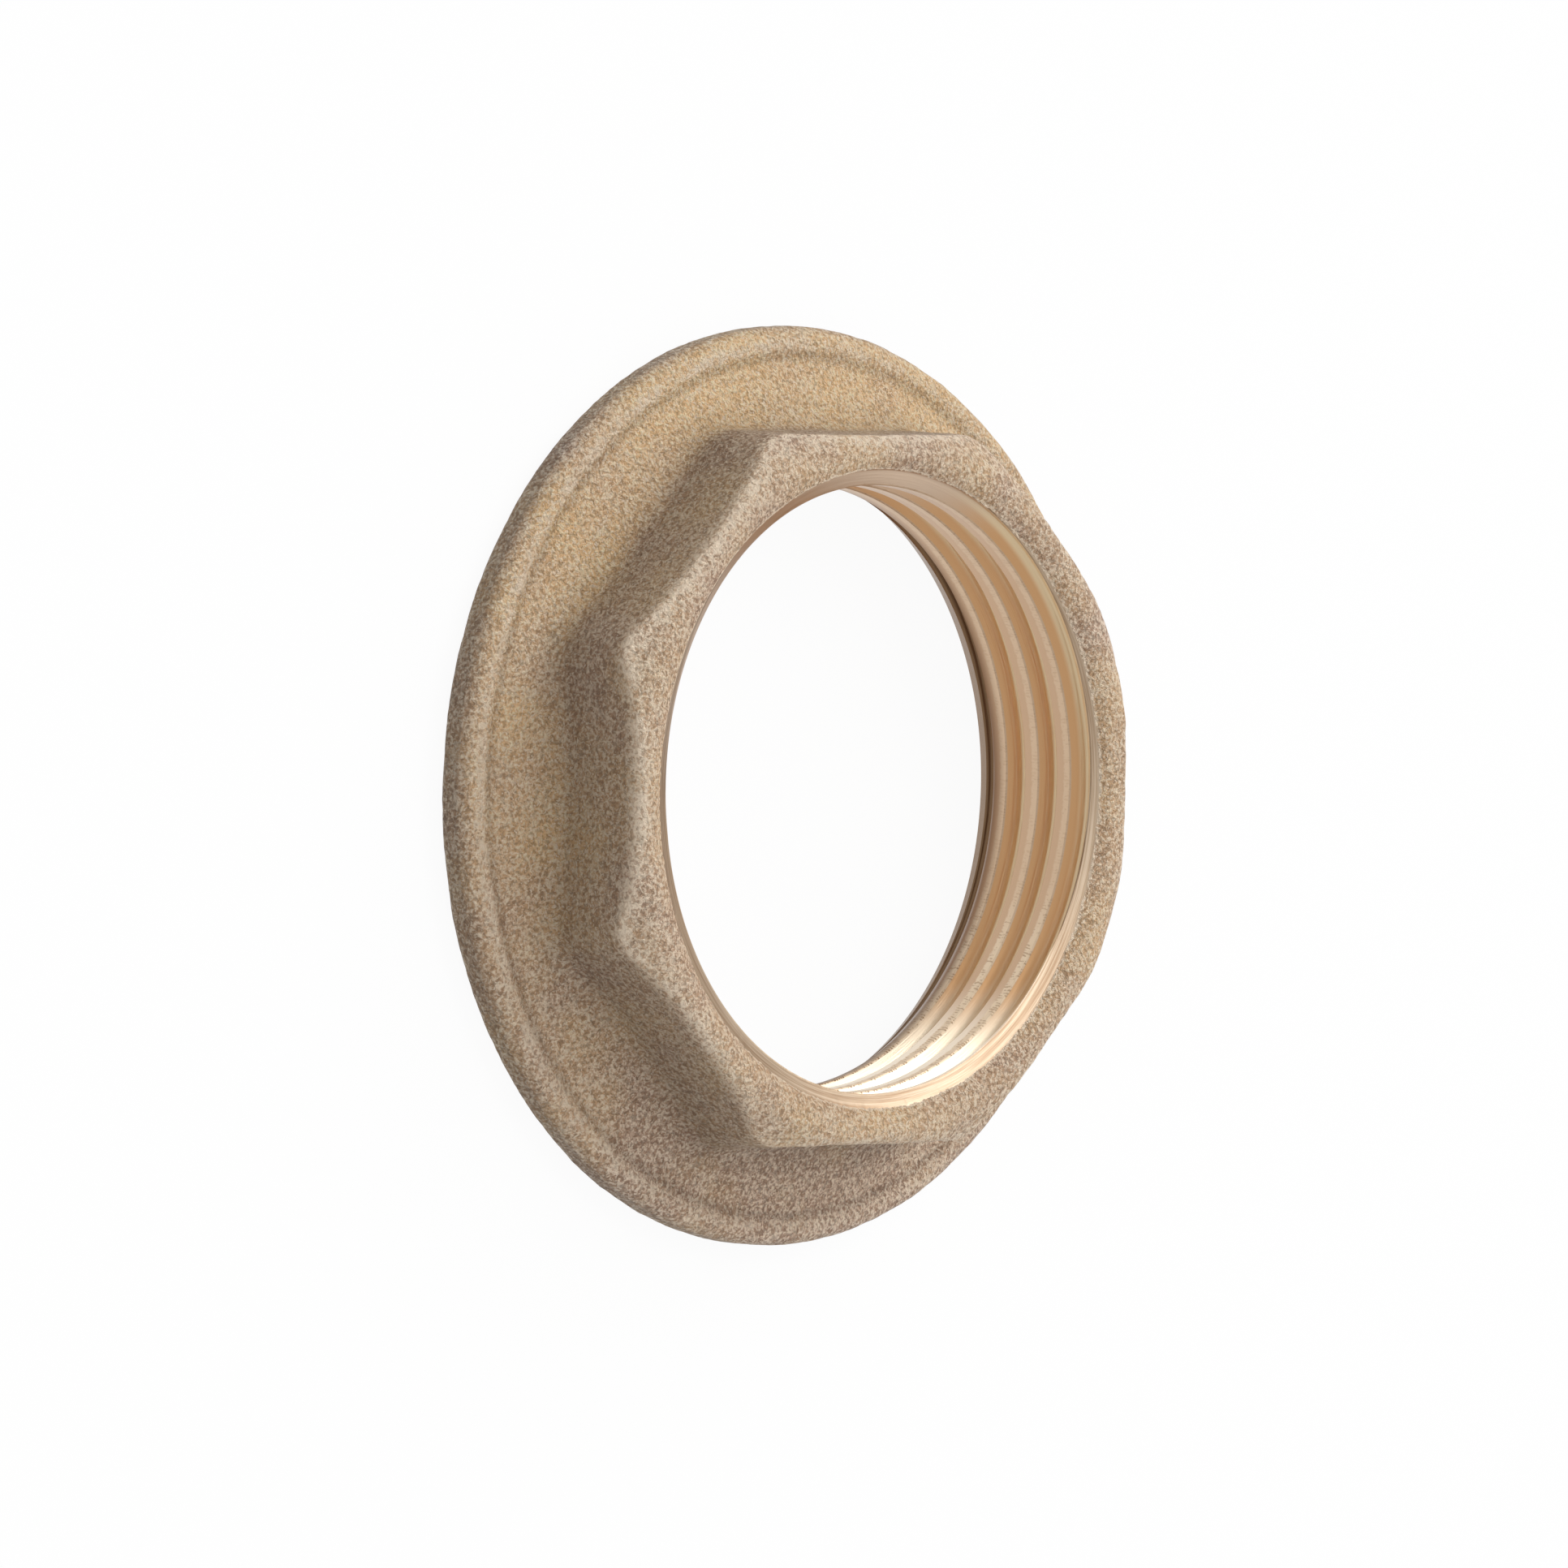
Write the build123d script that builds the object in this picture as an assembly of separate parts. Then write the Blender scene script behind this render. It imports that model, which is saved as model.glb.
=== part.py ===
from build123d import *
import os
from math import cos, radians, sin, tan

# A cast brass backnut: an octagonal hub on a round flange, in one piece, bored, countersunk and tapped
# right through. The origin is the middle of the flange's flat back face. +Z runs along the bore, from
# that face toward the hub. All sizes are in millimetres and all angles in degrees.

# Pipe thread: 14 turns to the inch, 55 degree flanks and a rounded root
thread_major_diameter = 26.441
thread_pitch = 1.814
thread_depth = 0.72
thread_angle = 55.0
thread_root_radius = 0.249
thread_start_angle = -90.0

# Countersinks, each with its width measured outward from the bore
front_countersink_width = 0.59
front_countersink_angle = 140.0
back_countersink_width = 0.80
back_countersink_angle = 55.0

# Octagonal hub
nut_height = 7.35
hub_wall = 1.33
side_count = 8
draft_angle = 2.5
corner_rounding = 2.2
crown_setback = 0.60
crown_rounding = 1.50
crown_side_slope = 45.0
front_edge_rounding = 0.50
dish_depth = 0.40
root_fillet = 1.20

# Flange
flange_width = 4.45
back_edge_rounding = 0.65
rim_height = 1.15
rim_rounding = 0.75
bead_width = 0.15
gutter_width = 0.70
gutter_depth = 0.06
flange_face_slope = 20.0

# Worked out from the sizes above
thread_radius = thread_major_diameter / 2
bore_radius = thread_radius - thread_depth
front_countersink_radius = bore_radius + front_countersink_width
back_countersink_radius = bore_radius + back_countersink_width
hub_apothem = thread_radius + hub_wall
crown_radius = hub_apothem - crown_setback
dish_level = nut_height - dish_depth
flange_radius = hub_apothem + flange_width
bead_height = rim_height + rim_rounding
tool_overrun = 1.0


def flange():
    """The round flange: a straight rim, a rounded bead, a shallow gutter and a cone that climbs to the hub."""
    back_flat_radius = flange_radius - back_edge_rounding
    bead_outer = flange_radius - rim_rounding
    bead_inner = bead_outer - bead_width
    cone_outer = bead_inner - gutter_width
    cone_top = bead_height + (cone_outer - bore_radius) * tan(radians(flange_face_slope))
    gutter_bottom = (bead_inner - gutter_width / 2, bead_height - gutter_depth)
    with BuildSketch(Plane.XZ) as section:
        with BuildLine():
            Polyline((0, bead_height), (0, 0), (back_flat_radius, 0))
            RadiusArc((back_flat_radius, 0), (flange_radius, back_edge_rounding), -back_edge_rounding)
            Line((flange_radius, back_edge_rounding), (flange_radius, rim_height))
            RadiusArc((flange_radius, rim_height), (bead_outer, bead_height), -rim_rounding)
            Line((bead_outer, bead_height), (bead_inner, bead_height))
            ThreePointArc((bead_inner, bead_height), gutter_bottom, (cone_outer, bead_height))
            Polyline((cone_outer, bead_height), (bore_radius, cone_top), (0, cone_top), (0, bead_height))
        make_face()
    return revolve(section.sketch, Axis.Z)


def crown():
    """The round form of the hub's front: highest on one circle, falling to the corners and to the bore."""
    slope = radians(crown_side_slope)
    fall_radius = crown_radius + crown_rounding * sin(slope)
    fall_level = nut_height - crown_rounding * (1 - cos(slope))
    outer_reach = fall_radius + fall_level / tan(slope)
    with BuildSketch(Plane.XZ) as section:
        with BuildLine():
            RadiusArc((fall_radius, fall_level), (crown_radius, nut_height), -crown_rounding)
            TangentArc((crown_radius, nut_height), (front_countersink_radius, dish_level), tangent=(-1, 0))
            Polyline((front_countersink_radius, dish_level), (0, dish_level), (0, 0), (outer_reach, 0),
                     (fall_radius, fall_level))
        make_face()
    return revolve(section.sketch, Axis.Z)


def hub():
    """The octagonal hub, drawn in toward the front by its draft, with rounded corners and a crowned front."""
    back_apothem = hub_apothem + nut_height * tan(radians(draft_angle))
    outline = RegularPolygon(back_apothem, side_count, major_radius=False, rotation=180 / side_count)
    prism = extrude(outline, nut_height, taper=draft_angle)
    uprights = prism.edges().filter_by(lambda edge: edge.bounding_box().size.Z > nut_height / 2)
    crowned = fillet(uprights, corner_rounding) & crown()
    rim = crowned.edges().filter_by(lambda edge: edge.geom_type not in (GeomType.LINE, GeomType.CIRCLE))
    return fillet(rim.filter_by(lambda edge: edge.center().Z > nut_height / 2), front_edge_rounding)


def casting():
    """Flange and hub as one casting, with a fillet along the line where they meet."""
    hub_part = hub()
    body = flange() + hub_part
    sides = hub_part.faces().filter_by(lambda face: face.bounding_box().min.Z < 0.01)
    sides = sides.filter_by(lambda face: face.bounding_box().size.Z > nut_height / 2)
    root = body.edges().filter_by(lambda edge: edge.geom_type != GeomType.LINE)
    root = root.filter_by(lambda edge: edge.bounding_box().max.Z < nut_height / 2 + bead_height)
    root = root.filter_by(lambda edge: min(side.distance_to(edge.center()) for side in sides) < 0.01)
    return fillet(root, root_fillet)


def bore():
    """What the boring tools take away: a plain bore with a countersink at each end."""
    front_slope = tan(radians(front_countersink_angle / 2))
    back_slope = tan(radians(back_countersink_angle / 2))
    front_depth = front_countersink_width / front_slope
    back_depth = back_countersink_width / back_slope
    front_end = dish_level + tool_overrun
    with BuildSketch(Plane.XZ) as section:
        with BuildLine():
            Polyline((0, -tool_overrun), (back_countersink_radius + tool_overrun * back_slope, -tool_overrun),
                     (bore_radius, back_depth), (bore_radius, dish_level - front_depth),
                     (front_countersink_radius + tool_overrun * front_slope, front_end), (0, front_end),
                     (0, -tool_overrun))
        make_face()
    return revolve(section.sketch, Axis.Z)


def thread_turn():
    """One right-hand turn of the tap's cut: straight flanks that end in a rounded root."""
    flank = radians(thread_angle / 2)
    root_centre = thread_radius - thread_root_radius
    tangent_radius = root_centre + thread_root_radius * sin(flank)
    tangent_half = thread_root_radius * cos(flank)
    mouth_radius = bore_radius - thread_pitch / 4
    mouth_half = tangent_half + (tangent_radius - mouth_radius) * tan(flank)
    with BuildSketch(Plane.XZ) as section:
        with BuildLine():
            Line((mouth_radius, -mouth_half), (tangent_radius, -tangent_half))
            ThreePointArc((tangent_radius, -tangent_half), (thread_radius, 0), (tangent_radius, tangent_half))
            Polyline((tangent_radius, tangent_half), (mouth_radius, mouth_half), (mouth_radius, -mouth_half))
        make_face()
    turn = sweep(section.sketch, path=Helix(thread_pitch, thread_pitch, mouth_radius), is_frenet=True)
    return Rot(0, 0, thread_start_angle) * turn


def locknut():
    """The casting, bored and countersunk, then tapped turn by turn from past one face to past the other."""
    nut = casting() - bore()
    turn = thread_turn()
    for number in range(-1, int(nut_height / thread_pitch) + 2):
        nut -= Pos(0, 0, number * thread_pitch) * turn
    return nut


os.makedirs("parts", exist_ok=True)
export_step(locknut(), "parts/locknut.step")
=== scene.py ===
import math

import bpy
import numpy as np
from mathutils import Matrix, Vector, noise


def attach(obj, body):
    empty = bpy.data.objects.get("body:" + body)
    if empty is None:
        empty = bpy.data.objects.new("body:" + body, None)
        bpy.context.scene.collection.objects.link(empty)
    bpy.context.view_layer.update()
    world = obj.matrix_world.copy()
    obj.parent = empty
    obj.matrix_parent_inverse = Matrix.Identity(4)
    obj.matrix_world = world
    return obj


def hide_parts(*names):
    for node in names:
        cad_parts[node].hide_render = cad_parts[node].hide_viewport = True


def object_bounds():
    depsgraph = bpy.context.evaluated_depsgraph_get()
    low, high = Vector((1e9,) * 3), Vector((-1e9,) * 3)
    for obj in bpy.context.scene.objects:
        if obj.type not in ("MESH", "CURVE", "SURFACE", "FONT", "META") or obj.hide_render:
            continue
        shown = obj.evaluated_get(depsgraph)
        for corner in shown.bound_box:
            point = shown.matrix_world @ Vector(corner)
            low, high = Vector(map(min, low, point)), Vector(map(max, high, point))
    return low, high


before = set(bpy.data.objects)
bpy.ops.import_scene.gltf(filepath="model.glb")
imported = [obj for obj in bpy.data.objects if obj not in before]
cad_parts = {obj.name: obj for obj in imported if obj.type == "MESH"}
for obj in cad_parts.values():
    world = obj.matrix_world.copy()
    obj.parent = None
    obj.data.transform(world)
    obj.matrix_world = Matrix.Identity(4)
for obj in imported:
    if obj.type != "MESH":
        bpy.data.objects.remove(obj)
cad_box = [list(corner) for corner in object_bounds()]

# Locknut: one brass casting, poured in a sand mould, with an eight-sided hub on a round flange. Its bore was
# turned, countersunk at both ends and tapped with a right-hand G 3/4 pipe thread. The whole nut is one closed
# net of rings around the bore, from the bore's back edge round the outside and down the bore, in mm.
MM = 0.001
COLUMNS = 720
angle = np.arange(COLUMNS) * 2 * math.pi / COLUMNS

nut_height = 7.35
thread_radius = 13.2205
thread_depth = 0.72
bore_radius = thread_radius - thread_depth

hub_apothem = 14.55
half_side = math.pi / 8
draft = math.radians(2.5)
corner_rounding = 2.2
crown_radius = 13.95
crown_rounding = 1.5
crown_slope = math.radians(45)
front_edge_rounding = 0.5
lip_radius = bore_radius + 0.59
lip_level = nut_height - 0.40
lip_slope = math.radians(70)

flange_radius = 19.0
back_edge_rounding = 0.65
rim_height = 1.15
rim_rounding = 0.75
bead_width = 0.15
gutter_width = 0.70
gutter_depth = 0.06
flange_slope = math.radians(20)
root_fillet = 0.9
back_lip_radius = bore_radius + 0.80
back_lip_slope = math.radians(27.5)

# Edges are rubbed bright all round, and painted sheen makes them brighter on one side; the flange's cone is
# painted lighter and more golden on the side that faces the light from above
SHEEN_SIDE = math.radians(245)
LIT_FLANGE_SIDE = math.radians(185)
wear_and_side_sheen = 0.35 + 0.65 * np.maximum(0, np.cos(angle - SHEEN_SIDE))


def side_radius(apothem):
    """How far the eight sides stand from the axis at each column, with their rounded corners."""
    off = np.abs((angle + half_side) % (2 * half_side) - half_side)
    flat_end = np.arctan((apothem - corner_rounding) * math.tan(half_side) / apothem)
    centre = (apothem - corner_rounding) / math.cos(half_side)
    from_corner = half_side - off
    rounded = centre * np.cos(from_corner) + np.sqrt(corner_rounding**2 - (centre * np.sin(from_corner))**2)
    return np.where(off < flat_end, apothem / np.cos(off), rounded)


def side_at(level):
    return side_radius(hub_apothem + (nut_height - level) * math.tan(draft))


def crown_level(radius):
    """The front's height: highest on one circle, rounded down to a slope outside it and dished inside it."""
    out = radius - crown_radius
    rounded = nut_height - crown_rounding + np.sqrt(np.maximum(crown_rounding**2 - out**2, 0))
    reach = crown_rounding * math.sin(crown_slope)
    sloped = nut_height - crown_rounding * (1 - math.cos(crown_slope)) - (out - reach) * math.tan(crown_slope)
    fall, width = nut_height - lip_level, crown_radius - lip_radius
    dish = (width**2 + fall**2) / (2 * fall)
    dished = nut_height - dish + np.sqrt(np.maximum(dish**2 - out**2, 0))
    return np.where(out < 0, dished, np.where(out < reach, rounded, sloped))


rings = []


def add_ring(radius, level, rough=1.0, wear_and_sheen=0.0, painted_shade=0.0):
    """One ring, with how rough-cast its metal is, how rubbed bright it is (with painted sheen), and how much
    painted shade it gets.
    """
    flat = np.zeros(COLUMNS)
    rings.append((flat + radius, flat + level, rough, wear_and_sheen, painted_shade))


def between(ends, share):
    return ends[0] + (ends[1] - ends[0]) * share


def add_run(start, end, steps, rough=1.0, wear_and_sheen=(0, 0), painted_shade=(0, 0)):
    for step in range(1, steps + 1):
        s = step / steps
        add_ring(between((start[0], end[0]), s), between((start[1], end[1]), s), rough,
                 between(wear_and_sheen, s), between(painted_shade, s))


def add_arc(radius, level, rounding, start, end, steps, wear_and_sheen=(0, 0), painted_shade=(0, 0)):
    for step in range(1, steps + 1):
        s = step / steps
        turn = math.radians(between((start, end), s))
        add_ring(radius + rounding * math.cos(turn), level + rounding * math.sin(turn), 1.0,
                 between(wear_and_sheen, s), between(painted_shade, s))


def add_fillet(before, corner, after, steps, wear_and_sheen=0.0, painted_shade=(0, 0)):
    """A round fillet from one tangent point to the other; the corner is where the two faces would meet."""
    first = [before[0] - corner[0], before[1] - corner[1]]
    last = [after[0] - corner[0], after[1] - corner[1]]
    cosine = (first[0] * last[0] + first[1] * last[1]) / (np.hypot(*first) * np.hypot(*last))
    weight = np.sin(np.arccos(np.clip(cosine, -1, 1)) / 2)
    for step in range(1, steps + 1):
        s = step / steps
        shares = ((1 - s)**2, 2 * s * (1 - s) * weight, s**2)
        place = [(shares[0] * before[i] + shares[1] * corner[i] + shares[2] * after[i]) / sum(shares)
                 for i in (0, 1)]
        add_ring(*place, 1.0, wear_and_sheen, between(painted_shade, s))


# The flange: the flat back, the rim's side, the bead round its top, the gutter and the sloping face. Painted
# shade darkens the back edge, the rim's side and the gutter
rim_top = rim_height + rim_rounding
bead_outer = flange_radius - rim_rounding
bead_inner = bead_outer - bead_width
cone_edge = bead_inner - gutter_width
back_flat = flange_radius - back_edge_rounding
add_ring(back_lip_radius, 0, 0.0)
add_run((back_lip_radius, 0), (back_flat, 0), 6, rough=0.0)
back_rings = len(rings)
# Painted shade on the back edge, the rim's side and the lower part of the rim's rounding
add_arc(back_flat, back_edge_rounding, back_edge_rounding, -90, 0, 4, painted_shade=(0.8, 1))
add_run((flange_radius, back_edge_rounding), (flange_radius, rim_height), 3, painted_shade=(1, 1))
add_arc(bead_outer, rim_height, rim_rounding, 0, 60, 5, painted_shade=(0.7, 0))
add_arc(bead_outer, rim_height, rim_rounding, 60, 90, 3, wear_and_sheen=(0, 0.9 * wear_and_side_sheen))
add_run((bead_outer, rim_top), (bead_inner, rim_top), 1, wear_and_sheen=(wear_and_side_sheen, wear_and_side_sheen))
# Painted shade in the gutter's crease
gutter_finish = ((0.4, 0.2), (0, 0.5), (0, 0.5), (0, 0.2), (0, 0))
for step, (worn_share, shade_step) in enumerate(gutter_finish, 1):
    s = step / len(gutter_finish)
    add_ring(bead_inner - gutter_width * s, rim_top - gutter_depth * 4 * s * (1 - s), 1.0,
             worn_share * wear_and_side_sheen, shade_step)

# The hub's foot and its root fillet; the foot's level is found by repeating, as the sides lean in with height
foot_z = np.zeros(COLUMNS) + 2.8
for _ in range(12):
    foot_z = rim_top + (cone_edge - side_at(foot_z)) * math.tan(flange_slope)
foot_r = side_at(foot_z)
tangent = root_fillet * math.tan((math.pi / 2 - flange_slope - draft) / 2)
fillet_start = (foot_r + tangent * math.cos(flange_slope), foot_z - tangent * math.sin(flange_slope))
fillet_end = (side_at(foot_z + tangent), foot_z + tangent)
half_way = ((cone_edge + fillet_start[0]) / 2, (rim_top + fillet_start[1]) / 2)
add_run((cone_edge, rim_top), half_way, 5)
# Painted shade darkens the flange towards the hub's foot and the root fillet, with some grime in the fillet
add_run(half_way, fillet_start, 6, painted_shade=(0, 0.3))
add_fillet(fillet_start, (foot_r, foot_z), fillet_end, 7, painted_shade=(0.3, 1.0))

# The hub: its eight sides with painted shade, the rubbed front edge with painted sheen on one side, and the
# crowned front down to the bore's lip
shoulder_z = np.zeros(COLUMNS) + 7.0
for _ in range(12):
    shoulder_z = crown_level(side_at(shoulder_z))
shoulder_r = side_at(shoulder_z)
fall_angle = np.arctan(-(crown_level(shoulder_r) - crown_level(shoulder_r - 0.05)) / 0.05)
tangent = front_edge_rounding * np.tan((math.pi / 2 - fall_angle - draft) / 2)
edge_start = (side_at(shoulder_z - tangent), shoulder_z - tangent)
edge_r = shoulder_r - tangent * np.cos(fall_angle)
near_edge = tuple(fillet_end[i] + (edge_start[i] - fillet_end[i]) * 0.85 for i in (0, 1))
# Painted shade on the hub's sides, a little less near the front edge
add_run(fillet_end, near_edge, 8, painted_shade=(1.1, 0.8))
add_run(near_edge, edge_start, 1, wear_and_sheen=(0, 0.8 * wear_and_side_sheen), painted_shade=(0.3, 0.3))
add_fillet(edge_start, (shoulder_r, shoulder_z), (edge_r, crown_level(edge_r)), 6, wear_and_sheen=wear_and_side_sheen)

# The pipe thread: 55 degree flanks and a rounded root, fourteen turns to the inch
pitch = 1.814
flank = math.radians(27.5)
root_rounding = 0.249
thread_start = math.radians(-90)
TURNS = range(-2, 5)
root_centre = thread_radius - root_rounding
tangent_half = root_rounding * math.cos(flank)
tangent_radius = root_centre + root_rounding * math.sin(flank)
mouth_half = tangent_half + (tangent_radius - bore_radius) * math.tan(flank)


def groove_centre(turn_number):
    """The level of one turn's groove at each column: right-handed, so it climbs as the angle grows."""
    return pitch * (turn_number + (angle - thread_start) / (2 * math.pi))


def groove_radius(off):
    """How deep a groove of the pipe thread reaches, this far above or below its centre."""
    off = np.abs(off)
    rounded = root_centre + np.sqrt(np.maximum(root_rounding**2 - off**2, 0))
    return np.where(off < tangent_half, rounded, tangent_radius - (off - tangent_half) / math.tan(flank))


def ring_noise(scale, seed, octaves):
    places = [Vector((math.cos(a) * scale, math.sin(a) * scale, seed)) for a in angle]
    return np.array([noise.fractal(place, 0.9, 2.0, octaves) for place in places])


# The lip is the front countersink's outer edge: ragged, because it was cut through the rough face, and
# bitten into where the thread's groove runs out
lip_z = np.zeros(COLUMNS) + lip_level
for _ in range(5):
    lip_r = np.zeros(COLUMNS) + lip_radius
    for turn_number in TURNS:
        lip_r = np.maximum(lip_r, groove_radius(lip_z - groove_centre(turn_number)))
    lip_z = crown_level(lip_r)
cut_by_groove = lip_r > lip_radius + 0.001
lip_r = lip_r + 0.07 * ring_noise(150, 0.0, 3) + 0.03 * ring_noise(9, 5.0, 2)
bore_top = lip_level - (lip_radius - bore_radius) / math.tan(lip_slope)
lip_z = np.where(cut_by_groove, crown_level(lip_r), bore_top + (lip_r - bore_radius) / math.tan(lip_slope))

crown_steps = 11
for step in range(1, crown_steps + 1):
    s = step / crown_steps
    radius = edge_r + (lip_r + 0.10 - edge_r) * s
    add_ring(radius, crown_level(radius), 1 - 0.8 * (step == crown_steps),
             max(0.3 * (1 - s), 1 - 6 * s) * wear_and_side_sheen)
add_ring(lip_r, lip_z, 0.0, 2.0)

# The bore's rings climb with the thread, so that each crest keeps its edges crisp: for each groove three
# rings on the crest above it, a worn edge, the rounded root and the other worn edge
bore_bottom = (back_lip_radius - bore_radius) / math.tan(back_lip_slope)
EDGE_WEAR = 0.03
CREST_SHARES = (0.25, 0.5, 0.75)
ROOT_TURNS = [math.radians(a) for a in (62.5, 37.5, 12.5, -12.5, -37.5, -62.5)]
LEAST_STEP = 0.002
MERGED_BELOW = 0.005
back_grip = math.tan(back_lip_slope) * math.tan(flank)
front_grip = math.tan(lip_slope) * math.tan(flank)


def wall_radius(level):
    """The bore's wall: the widest of the bore, the two countersinks and the grooves."""
    radius = np.maximum(bore_radius, back_lip_radius - level * math.tan(back_lip_slope))
    radius = np.maximum(radius, bore_radius + (level - bore_top) * math.tan(lip_slope))
    for turn_number in TURNS:
        radius = np.maximum(radius, groove_radius(level - groove_centre(turn_number)))
    return radius


def in_wall(level):
    return np.clip(level, 0, lip_z)


def upper_mouth(turn_number):
    """Where a groove's upper flank meets the bore, or the countersink that it runs out into."""
    centre = groove_centre(turn_number)
    in_back = centre + tangent_half + (tangent_radius - back_lip_radius) * math.tan(flank)
    in_front = centre + mouth_half + bore_top * front_grip
    level = centre + mouth_half
    level = np.where(level < bore_bottom, in_back / (1 - back_grip), level)
    return np.where(centre + mouth_half > bore_top, in_front / (1 + front_grip), level)


def lower_mouth(turn_number):
    """Where a groove's lower flank meets the bore, or the back countersink."""
    centre = groove_centre(turn_number)
    in_back = centre - tangent_half - (tangent_radius - back_lip_radius) * math.tan(flank)
    level = centre - mouth_half
    return np.where(level < bore_bottom, in_back / (1 + back_grip), level)


def crest_rings(top, bottom):
    """Three rings on a crest, one of them moved onto the edge of a countersink that crosses it."""
    levels = np.array([top + (bottom - top) * share for share in CREST_SHARES])
    for edge in (bore_top, bore_bottom):
        nearest = np.abs(levels - edge).argmin(axis=0)
        columns = np.nonzero((top > edge) & (bottom < edge))[0]
        levels[nearest[columns], columns] = edge
    return list(levels)


bore_levels = []
for turn_number in reversed(TURNS):
    top = in_wall(lower_mouth(turn_number + 1) - EDGE_WEAR) if turn_number + 1 in TURNS else lip_z
    upper, lower = upper_mouth(turn_number), lower_mouth(turn_number)
    bottom = in_wall(upper + EDGE_WEAR)
    bore_levels += crest_rings(top, bottom) + [bottom, in_wall(upper - EDGE_WEAR)]
    centre = groove_centre(turn_number)
    bore_levels += [in_wall(np.minimum(centre + root_rounding * math.sin(a), upper)) for a in ROOT_TURNS]
    bore_levels += [in_wall(lower + EDGE_WEAR), in_wall(lower - EDGE_WEAR)]
block_size = len(bore_levels) // len(TURNS)

outside_count = len(rings)
above = lip_z
for level in bore_levels:
    level = np.minimum(level, above - LEAST_STEP)
    level = np.where(level > lip_z - MERGED_BELOW, lip_z, level)
    level = np.where(level < MERGED_BELOW, 0, level)
    add_ring(np.where(level == lip_z, lip_r, wall_radius(level)), level, 0.0)
    above = level + LEAST_STEP * (level == lip_z)

ring_count = len(rings)
radii = np.array([ring[0] for ring in rings])
levels = np.array([ring[1] for ring in rings])
rough, wear_and_sheen, painted_shade = [np.array([np.zeros(COLUMNS) + ring[i] for ring in rings]) for i in (2, 3, 4)]
on_flange = np.clip((3.4 - levels) / 0.6, 0, 1) * np.clip((levels - 1.3) / 0.5, 0, 1)
# Painted light: on the flange's cone the colour is lighter and more golden towards LIT_FLANGE_SIDE, the side
# facing the light from above
golden_lit = 0.37 + on_flange * (0.13 + 0.42 * np.cos(angle - LIT_FLANGE_SIDE))
points = np.stack([radii * np.cos(angle), radii * np.sin(angle), levels], axis=2)

# The sand left lumps and dents in the cast skin, moved here along the skin's own normals: each kind comes so
# many times a mm and stands so many mm high, and the whole skin lies a little inside the nut's nominal size
WAVES, WAVE_HEIGHT = 0.28, 0.04
LUMPS, LUMP_HEIGHT = 0.9, 0.025
GRAINS, GRAIN_HEIGHT = 2.6, 0.02
EDGE_LUMPS, EDGE_LUMP_HEIGHT = 1.7, 0.05
SKIN_INSET = 0.02
along = np.roll(points, -1, axis=1) - np.roll(points, 1, axis=1)
across = np.gradient(points, axis=0)
normals = np.cross(along, across)
normals /= np.maximum(np.linalg.norm(normals, axis=2, keepdims=True), 1e-9)
lumps = np.zeros((ring_count, COLUMNS))
for i in range(outside_count):
    if rings[i][2] == 0:
        continue
    for j in range(COLUMNS):
        place = Vector(points[i, j])
        wavy = noise.noise(place * WAVES)
        lumpy = noise.noise(place * LUMPS + Vector((7, 3, 1)))
        grain = noise.noise(place * GRAINS)
        lumps[i, j] = WAVE_HEIGHT * wavy + LUMP_HEIGHT * lumpy + GRAIN_HEIGHT * grain
        if wear_and_sheen[i, j]:
            edge_lump = noise.noise(place * EDGE_LUMPS + Vector((0, 0, 9)))
            lumps[i, j] += EDGE_LUMP_HEIGHT * wear_and_sheen[i, j] * edge_lump
points += normals * ((lumps - SKIN_INSET) * rough)[:, :, None]
radial = np.hypot(points[:, :, 0], points[:, :, 1])
points[:, :, :2] *= (np.minimum(radial, flange_radius) / radial)[:, :, None]
points[:, :, 2] = np.clip(points[:, :, 2], 0, cad_box[1][2] / MM)

# Rings that have run out of the bore share the points of the lip or of the back edge
shared = np.arange(ring_count * COLUMNS).reshape(ring_count, COLUMNS)
in_bore = np.arange(ring_count)[:, None] >= outside_count
shared = np.where(in_bore & (levels == lip_z), shared[outside_count - 1], shared)
shared = np.where(in_bore & (levels == 0), shared[0], shared)
CAST, TAPPED = 0, 1
faces, finishes = [], []


def add_strip(left, right, column, following, finish):
    """The faces between two columns, each listed by its rings; a face keeps only its different corners."""
    for a, b, c, d in zip(left[:-1], left[1:], right[1:], right[:-1]):
        places = ((a, column), (b, column), (c, following), (d, following))
        corners = [int(shared[ring, at]) for ring, at in places]
        corners = [corner for k, corner in enumerate(corners) if corner != corners[k - 1]]
        if len(set(corners)) > 2:
            faces.append(corners[::-1])
            finishes.append(finish)


outside = list(range(outside_count))
bore = [outside_count - 1] + list(range(outside_count, ring_count)) + [0]
for column in range(COLUMNS):
    following = (column + 1) % COLUMNS
    add_strip(outside[:back_rings], outside[:back_rings], column, following, TAPPED)
    add_strip(outside[back_rings - 1:], outside[back_rings - 1:], column, following, CAST)
    if following:
        add_strip(bore, bore, column, following, TAPPED)
    else:
        # One turn on, each groove has climbed to the place of the one above it
        climbed = bore[:-1 - block_size] + [bore[-1]]
        add_strip([bore[0]] + bore[1 + block_size:], climbed, column, following, TAPPED)
used = np.unique(np.concatenate(faces))
renumbered = np.zeros(ring_count * COLUMNS, int)
renumbered[used] = np.arange(len(used))
faces = [[int(renumbered[corner]) for corner in face] for face in faces]

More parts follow.
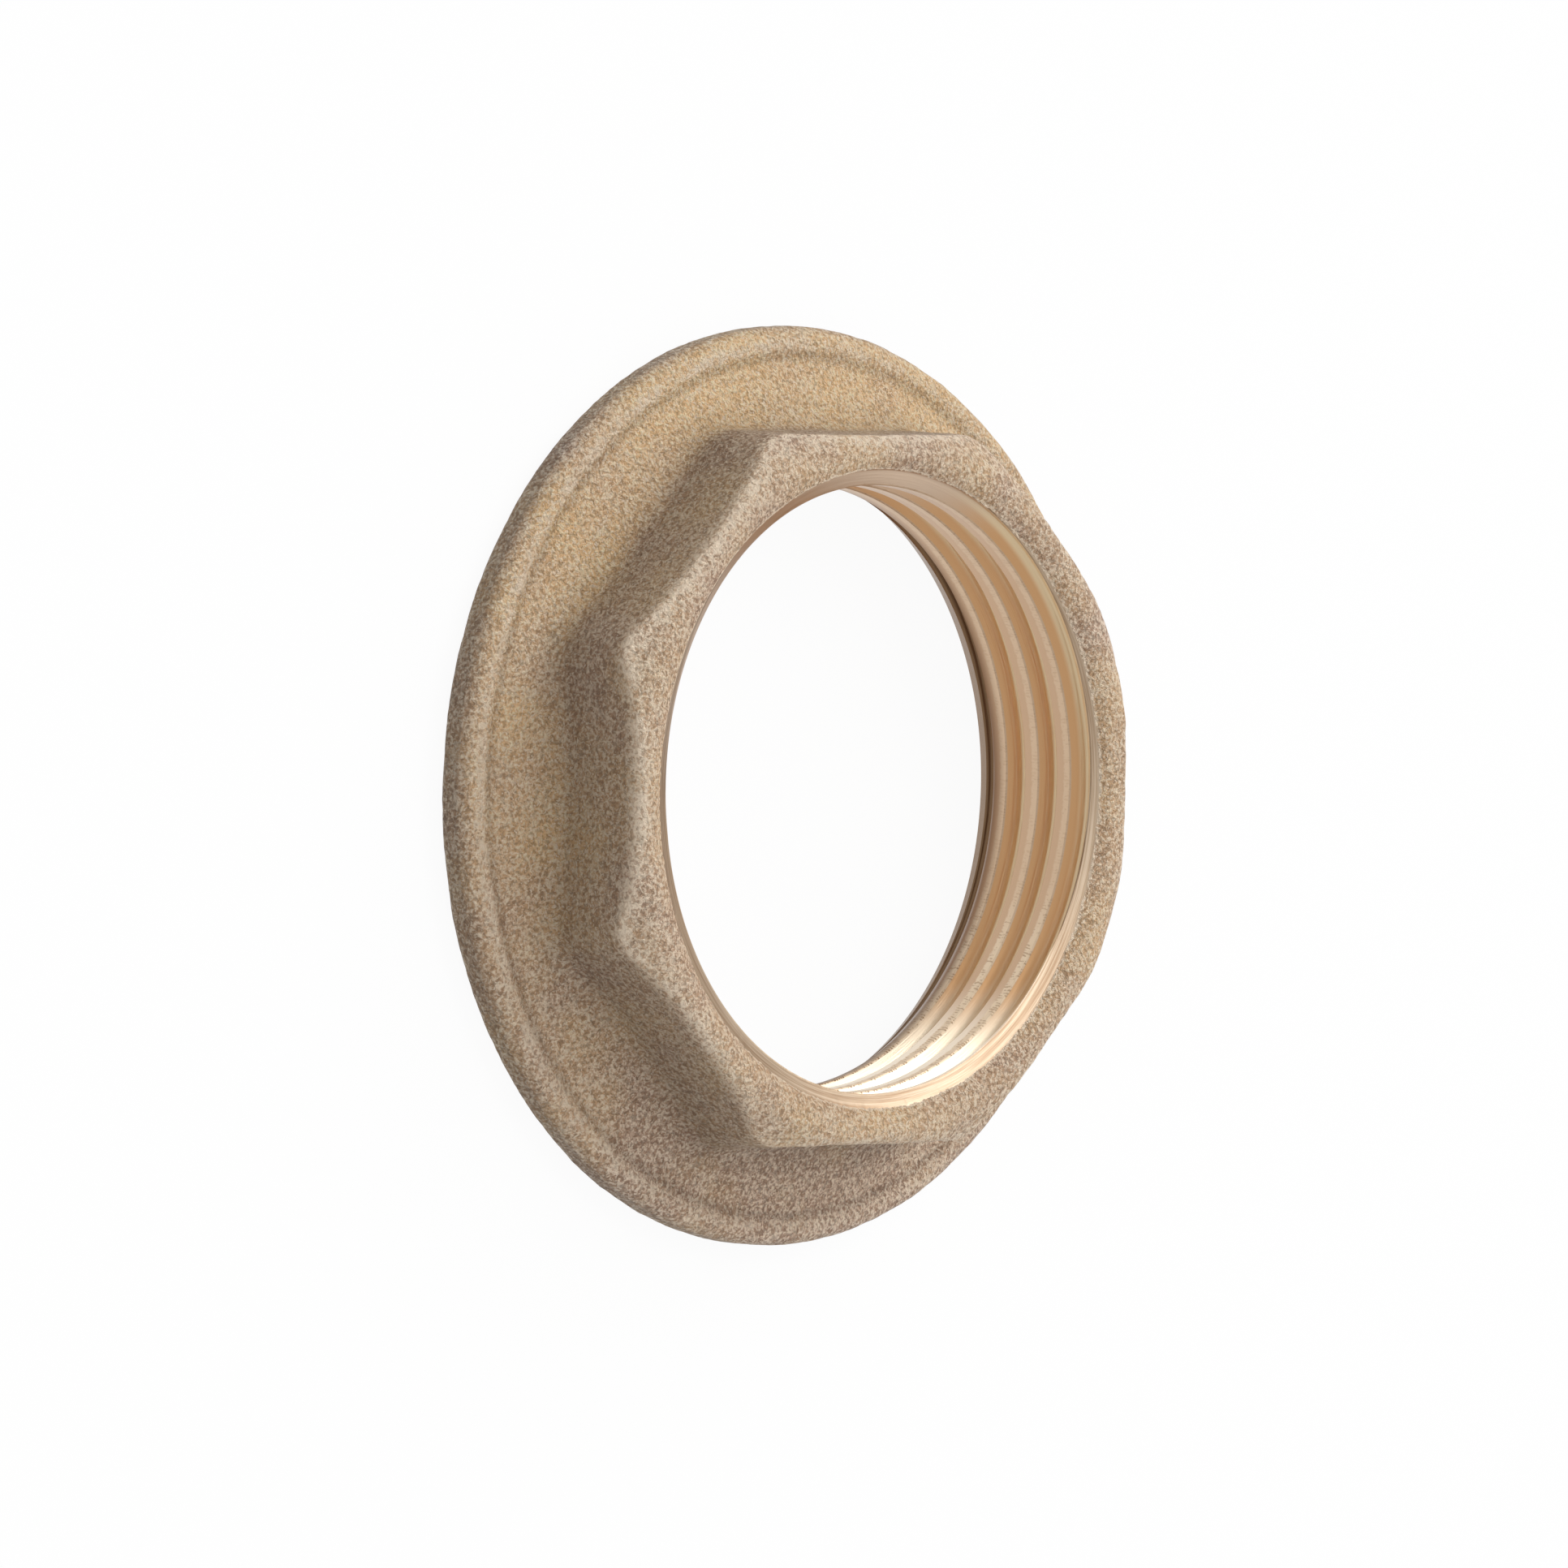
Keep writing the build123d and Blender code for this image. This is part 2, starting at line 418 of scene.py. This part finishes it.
mesh = bpy.data.meshes.new("locknut_casting")
mesh.from_pydata((points.reshape(-1, 3)[used] * MM).tolist(), [], faces)
mesh.polygons.foreach_set("material_index", finishes)
for name, values in (("wear_and_sheen", wear_and_sheen), ("painted_shade", painted_shade), ("golden_lit", golden_lit)):
    mesh.attributes.new(name, "FLOAT", "POINT").data.foreach_set("value", values.reshape(-1)[used])
nut = bpy.data.objects.new("locknut_casting", mesh)
bpy.context.scene.collection.objects.link(nut)
mesh.polygons.foreach_set("use_smooth", [True] * len(mesh.polygons))
mesh.set_sharp_from_angle(angle=math.radians(30))

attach(nut, "root")
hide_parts("locknut")


def linear(hex_colour):
    """An sRGB hex colour as linear red, green, blue and alpha."""
    parts = [int(hex_colour[i:i + 2], 16) / 255 for i in (1, 3, 5)]
    return [p / 12.92 if p <= 0.04045 else ((p + 0.055) / 1.055)**2.4 for p in parts] + [1.0]


def add_node(tree, kind, settings, inputs):
    """Adds a node with its settings; each input is a plain value or another node's output."""
    node = tree.nodes.new(kind)
    for name, value in settings.items():
        setattr(node, name, value)
    for name, value in inputs.items():
        if isinstance(value, bpy.types.NodeSocket):
            tree.links.new(value, node.inputs[name])
        else:
            node.inputs[name].default_value = value
    return node


def calc(tree, operation, *values, clamp=False):
    settings = {"operation": operation, "use_clamp": clamp}
    return add_node(tree, "ShaderNodeMath", settings, dict(enumerate(values))).outputs[0]


def vector_calc(tree, operation, *values, output=0):
    node = add_node(tree, "ShaderNodeVectorMath", {"operation": operation}, dict(enumerate(values)))
    return node.outputs[output]


def ramp(tree, value, start, end, low=0.0, high=1.0, kind="SMOOTHSTEP", clamp=True):
    """Turns the range from start to end into the range from low to high."""
    settings = {"interpolation_type": kind, "clamp": clamp}
    inputs = {"Value": value, "From Min": start, "From Max": end, "To Min": low, "To Max": high}
    return add_node(tree, "ShaderNodeMapRange", settings, inputs).outputs[0]


def blend(tree, share, first, second, kind="MIX"):
    """Mixes two colours, each a node's output or an sRGB hex colour."""
    first, second = [linear(colour) if isinstance(colour, str) else colour for colour in (first, second)]
    settings = {"data_type": "RGBA", "blend_type": kind}
    return add_node(tree, "ShaderNodeMix", settings, {0: share, 6: first, 7: second}).outputs[2]


def blend_values(tree, share, first, second):
    return add_node(tree, "ShaderNodeMix", {"data_type": "FLOAT"}, {0: share, 2: first, 3: second}).outputs[0]


def noise_at(tree, place, scale, detail=2.0, roughness=0.5):
    inputs = {"Vector": place, "Scale": scale, "Detail": detail, "Roughness": roughness}
    return add_node(tree, "ShaderNodeTexNoise", {}, inputs).outputs["Fac"]


def add_bump(tree, shader, height, height_mm):
    inputs = {"Strength": 1.0, "Distance": height_mm * MM, "Height": height}
    tree.links.new(add_node(tree, "ShaderNodeBump", {}, inputs).outputs[0], shader.inputs["Normal"])


def new_metal(name):
    """A new material: its node tree, its shader, and the place on the nut in mm."""
    metal = bpy.data.materials.new(name)
    metal.use_nodes = True
    mesh.materials.append(metal)
    tree = metal.node_tree
    place = add_node(tree, "ShaderNodeTexCoord", {}, {}).outputs["Object"]
    in_mm = {0: place, "Scale": 1 / MM}
    mm = add_node(tree, "ShaderNodeVectorMath", {"operation": "SCALE"}, in_mm).outputs[0]
    return tree, tree.nodes["Principled BSDF"], mm


# Brass as cast in sand: grains of about 0.2 mm stand as pale domes with dull oxide in the gaps between them.
# A coarser net of ridges is rubbed bright, most of all along the edges, with painted sheen on one side.
# Painted glints fleck the skin, the flange's cone is painted lighter on its lit side, and painted shade
# darkens the rim's and hub's sides, the gutter and the hub's foot
tree, shader, mm = new_metal("sand_cast_brass")
GRAIN_MM = 0.20
NET_MM = 0.42
warp = add_node(tree, "ShaderNodeTexNoise", {}, {"Vector": mm, "Scale": 4.0, "Detail": 2.0}).outputs["Color"]
warp = vector_calc(tree, "SUBTRACT", warp, (0.5, 0.5, 0.5))
warped = vector_calc(tree, "MULTIPLY_ADD", warp, (0.35, 0.35, 0.35), mm)
cells = [add_node(tree, "ShaderNodeTexVoronoi", {"feature": feature}, {"Vector": warped, "Scale": 1 / size})
         for feature, size in (("DISTANCE_TO_EDGE", NET_MM), ("F1", GRAIN_MM))]
from_net, from_grain = [cell.outputs["Distance"] for cell in cells]
speck = noise_at(tree, mm, 6.0, 3.0, 0.70)
blotch = noise_at(tree, mm, 1.3, 3.0, 0.6)
cloud = noise_at(tree, mm, 0.25, 3.0)
wear_and_sheen_here, painted_shade_here, golden_lit_here = [
    add_node(tree, "ShaderNodeAttribute", {"attribute_name": name}, {}).outputs["Fac"]
    for name in ("wear_and_sheen", "painted_shade", "golden_lit")]

ridge = ramp(tree, from_net, 0.02, 0.17, 1.0, 0.0)
domed = calc(tree, "MULTIPLY_ADD", from_grain, -0.35, speck)
bare = ramp(tree, domed, 0.345, 0.45)
patchy = ramp(tree, blotch, 0.35, 0.65, 0.05, 0.60, "LINEAR")
shine = calc(tree, "MULTIPLY_ADD", wear_and_sheen_here, 0.7, patchy)
net_shine = calc(tree, "MULTIPLY", ridge, shine, clamp=True)
metal = calc(tree, "MULTIPLY_ADD", bare, 0.8, net_shine, clamp=True)

# The golden tone varies at random in clouds, on top of the flange's painted lighter side
tinge = ramp(tree, cloud, 0.3, 0.7, -0.4, 0.4, "LINEAR")
gold = calc(tree, "ADD", golden_lit_here, tinge, clamp=True)
bright = blend(tree, gold, "#ffe8d0", "#ffecc6")
dull = blend(tree, gold, "#c49e82", "#f4c892")
skin = blend(tree, metal, dull, bright)
pitted = ramp(tree, domed, 0.19, 0.31, 0.70, 1.0)
skin = blend(tree, 1.0, skin, pitted, "MULTIPLY")

# Painted glints: small pale specks put into the skin's colour
glint = noise_at(tree, warped, 8.0)
glint = ramp(tree, glint, 0.54, 0.64, 0.0, 0.8)
patchy_wear_and_sheen = ramp(tree, blotch, 0.38, 0.56, 0.25, 1.0)
patchy_wear_and_sheen = calc(tree, "MULTIPLY", wear_and_sheen_here, patchy_wear_and_sheen)
netted = ramp(tree, ridge, 0.0, 1.0, 0.45, 1.3, "LINEAR")
# The rubbed ridges and the painted glints pale the skin
polish_and_glint = calc(tree, "MULTIPLY_ADD", patchy_wear_and_sheen, netted, glint, clamp=True)
skin = blend(tree, polish_and_glint, skin, "#ffead0")
# Painted shade: the skin is darkened where painted_shade is set
shade = ramp(tree, painted_shade_here, 0.0, 1.0, 1.0, 0.60, "LINEAR", clamp=False)
skin = blend(tree, 1.0, skin, shade, "MULTIPLY")

tree.links.new(skin, shader.inputs["Base Color"])
tree.links.new(ramp(tree, metal, 0.0, 1.0, 0.03, 0.38, "LINEAR"), shader.inputs["Metallic"])
tree.links.new(ramp(tree, metal, 0.0, 1.0, 0.60, 0.38, "LINEAR"), shader.inputs["Roughness"])
add_bump(tree, shader, domed, 0.30)

# Brass as turned and tapped: bright, with fine lines round the bore from the cutting edges. The tap chattered
# on the front half of each crest and left rows of small marks. Painted light makes the bore's wall paler on
# its lit side, near the front the grooves are paler and greyer towards one side, and the back end is darker
# brown, part dried cutting oil and part painted shade
tree, shader, mm = new_metal("tapped_brass")
LINE_MM = 0.05
CHATTER_MARKS = 560
LIT_WALL_SIDE = math.radians(13)
PALE_GROOVE_SIDE = math.radians(222)
split = add_node(tree, "ShaderNodeSeparateXYZ", {}, {0: mm}).outputs
around = calc(tree, "ARCTAN2", split["Y"], split["X"])
turns = calc(tree, "DIVIDE", around, 2 * math.pi)
climb = calc(tree, "DIVIDE", split["Z"], pitch)
climb = calc(tree, "SUBTRACT", climb, turns)
climb = calc(tree, "SUBTRACT", climb, -thread_start / (2 * math.pi))
profile = calc(tree, "FRACT", climb)
flat_mm = vector_calc(tree, "MULTIPLY", mm, (1, 1, 0))
radius_mm = vector_calc(tree, "LENGTH", flat_mm, output="Value")
in_lip = calc(tree, "GREATER_THAN", split["Z"], bore_top - 0.01)
in_back = ramp(tree, split["Z"], bore_bottom - 0.1, bore_bottom + 0.75, 1.0, 0.0)
on_crest = ramp(tree, radius_mm, bore_radius + 0.03, bore_radius + 0.08, 1.0, 0.0)

# Fine lines: they follow the thread in the bore, and run level on the countersinks and the back
profile_mm = calc(tree, "MULTIPLY", profile, pitch)
step_mm = blend_values(tree, in_lip, profile_mm, radius_mm)
step_on = calc(tree, "DIVIDE", step_mm, LINE_MM)
step_up = add_node(tree, "ShaderNodeCombineXYZ", {}, {2: step_on}).outputs[0]
lined = add_node(tree, "ShaderNodeCombineXYZ", {}, {0: split["X"], 1: split["Y"]}).outputs[0]
lined = vector_calc(tree, "MULTIPLY", lined, (0.25, 0.25, 0))
lined = vector_calc(tree, "ADD", lined, step_up)
lines = noise_at(tree, lined, 0.7, 3.0, 0.7)

# Chatter: a row of slanting marks, uneven in depth, made stronger by painted light towards the bore's lit
# side
lit_wall_side = (math.cos(LIT_WALL_SIDE), math.sin(LIT_WALL_SIDE), 0)
toward_lit_wall = vector_calc(tree, "DOT_PRODUCT", mm, lit_wall_side, output="Value")
wander = noise_at(tree, mm, 1.2)
slant = calc(tree, "MULTIPLY_ADD", wander, 3.0, profile)
marks = calc(tree, "MULTIPLY_ADD", turns, CHATTER_MARKS, slant)
marks = calc(tree, "MULTIPLY", marks, 2 * math.pi)
marks = calc(tree, "SINE", marks)
uneven = noise_at(tree, mm, 3.5, 3.0, 0.6)
marks = calc(tree, "MULTIPLY_ADD", uneven, 9.0, marks)
teeth = ramp(tree, marks, 3.1, 3.9)
ragged_end = noise_at(tree, mm, 5.0)
along_crest = calc(tree, "MULTIPLY_ADD", ragged_end, 0.10, profile)
front_half = ramp(tree, along_crest, 0.535, 0.60)
scuffed_and_lit = ramp(tree, toward_lit_wall, bore_radius * 0.50, bore_radius * 0.78, 0.35, 1.0)
chattered = calc(tree, "MULTIPLY", front_half, on_crest)
chattered = calc(tree, "MULTIPLY", chattered, scuffed_and_lit)
gaps = calc(tree, "MULTIPLY_ADD", teeth, -1.0, 1.0)
gaps = calc(tree, "MULTIPLY", gaps, chattered)

# Painted light: the bore's wall, crests and grooves alike, is paler on the side towards LIT_WALL_SIDE
lit_wall = ramp(tree, toward_lit_wall, bore_radius * 0.80, bore_radius * 0.98)
# Painted light: the grooves are paler towards their roots, offsetting the redder reflections deep in them
deep = ramp(tree, radius_mm, bore_radius + 0.30, bore_radius + 0.55)
groove = blend(tree, deep, "#dcac7c", "#eed4ac")
groove = blend(tree, lit_wall, groove, "#fbead0")
crest = blend(tree, lit_wall, "#c6a688", "#f8e8d2")
# Towards one side and the front the grooves are paler and greyer
pale_groove_side = (math.cos(PALE_GROOVE_SIDE), math.sin(PALE_GROOVE_SIDE), 0.9)
pale_grooves = vector_calc(tree, "DOT_PRODUCT", mm, pale_groove_side, output="Value")
pale_grooves = ramp(tree, pale_grooves, 8.0, 13.0)
groove = blend(tree, pale_grooves, groove, "#d9bfa6")
metal = blend(tree, on_crest, groove, crest)
lip_line = ramp(tree, lines, 0.35, 0.65, kind="LINEAR")
lip_tone = blend(tree, lip_line, "#a78b70", "#d0bca4")
metal = blend(tree, in_lip, metal, lip_tone)
# The chatter marks' pale colour is partly a painted glint
metal = blend(tree, chattered, metal, "#efd8ba")
dark_gaps = calc(tree, "MULTIPLY", gaps, 0.5)
metal = blend(tree, dark_gaps, metal, "#b08a62")
# Darker brown towards the back end: part dried cutting oil, part painted shade
stain_and_shade = calc(tree, "MULTIPLY", in_back, 0.85)
metal = blend(tree, stain_and_shade, metal, "#6f4d33")

tree.links.new(metal, shader.inputs["Base Color"])
tree.links.new(ramp(tree, chattered, 0.0, 1.0, 1.0, 0.75, "LINEAR"), shader.inputs["Metallic"])
roughness = ramp(tree, chattered, 0.0, 1.0, 0.30, 0.42, "LINEAR")
tree.links.new(blend_values(tree, in_lip, roughness, 0.42), shader.inputs["Roughness"])
height = calc(tree, "MULTIPLY_ADD", gaps, -1.5, lines)
add_bump(tree, shader, height, 0.012)

# Floor: white paper that the nut lies on, seen as pure white but for the nut's soft shadow. To the nut's
# diffuse light it is a mid grey, so that it doesn't light the hub's sides too much
floor_mesh = bpy.data.meshes.new("floor")
FLOOR_REACH = 2.0
floor_corners = [(x * FLOOR_REACH, y * FLOOR_REACH, 0) for x, y in ((-1, -1), (1, -1), (1, 1), (-1, 1))]
floor_mesh.from_pydata(floor_corners, [], [(0, 1, 2, 3)])
floor = bpy.data.objects.new("floor", floor_mesh)
bpy.context.scene.collection.objects.link(floor)
paper = bpy.data.materials.new("white_paper")
paper.use_nodes = True
tree = paper.node_tree
shader = tree.nodes["Principled BSDF"]
shader.inputs["Specular IOR Level"].default_value = 0.0
path = add_node(tree, "ShaderNodeLightPath", {}, {}).outputs
white = ramp(tree, path["Is Camera Ray"], 0.0, 1.0, 0.5, 0.95, "LINEAR")
tree.links.new(white, shader.inputs["Base Color"])
seen = calc(tree, "ADD", path["Is Camera Ray"], path["Is Glossy Ray"])
seen = calc(tree, "ADD", seen, path["Is Transmission Ray"], clamp=True)
glow_share = calc(tree, "MULTIPLY", seen, 0.94)
glow = add_node(tree, "ShaderNodeEmission", {}, {"Color": (1, 1, 1, 1), "Strength": 1.0}).outputs[0]
surfaces = {0: glow_share, 1: shader.outputs[0], 2: glow}
surface = add_node(tree, "ShaderNodeMixShader", {}, surfaces).outputs[0]
tree.links.new(surface, tree.nodes["Material Output"].inputs["Surface"])
floor_mesh.materials.append(paper)

# Light: an even white room, a soft key above that throws the hub's shadow across the flange, a low panel
# that brightens the far side of the flange and the lit side of the thread, and a weak one behind
world = bpy.data.worlds.new("studio")
bpy.context.scene.world = world
world.use_nodes = True
world.node_tree.nodes["Background"].inputs["Color"].default_value = (1, 1, 1, 1)
world.node_tree.nodes["Background"].inputs["Strength"].default_value = 0.65


def add_panel(name, place, width, height, radiance):
    """A soft panel facing the nut; radiance 1 is as bright as white."""
    panel = bpy.data.objects.new(name, bpy.data.lights.new(name, "AREA"))
    panel.data.shape = "RECTANGLE"
    panel.data.size = width
    panel.data.size_y = height
    panel.data.energy = radiance * math.pi * width * height
    panel.location = place
    panel.rotation_euler = (-Vector(place)).to_track_quat("-Z", "Y").to_euler()
    bpy.context.scene.collection.objects.link(panel)


add_panel("key_panel", (-0.52, 0.42, 0.95), 0.65, 0.65, 2.85)
add_panel("low_panel", (-0.68, 0.60, 0.40), 0.5, 0.5, 2.8)
add_panel("back_panel", (0.42, 1.0, 0.66), 1.2, 0.8, 0.30)

# Camera: it looks down on the nut as the photograph does, turned almost a quarter round its own axis
camera = bpy.data.objects.new("camera", bpy.data.cameras.new("camera"))
bpy.context.scene.collection.objects.link(camera)
camera_right = Vector((-0.0132065, 0.6931499, 0.72067246))
camera_up = Vector((-0.99949426, 0.01169995, -0.02956911))
stand = Matrix((camera_right, camera_up, camera_right.cross(camera_up))).transposed().to_4x4()
stand.translation = Vector((-0.01950354, -0.48398751, 0.46647691))
camera.matrix_world = stand
camera.data.lens = 373.4
camera.data.sensor_width = 36
camera.data.clip_start = 0.05
camera.data.clip_end = 10
bpy.context.scene.camera = camera
bpy.context.scene.view_settings.view_transform = "Standard"

bpy.context.view_layer.update()
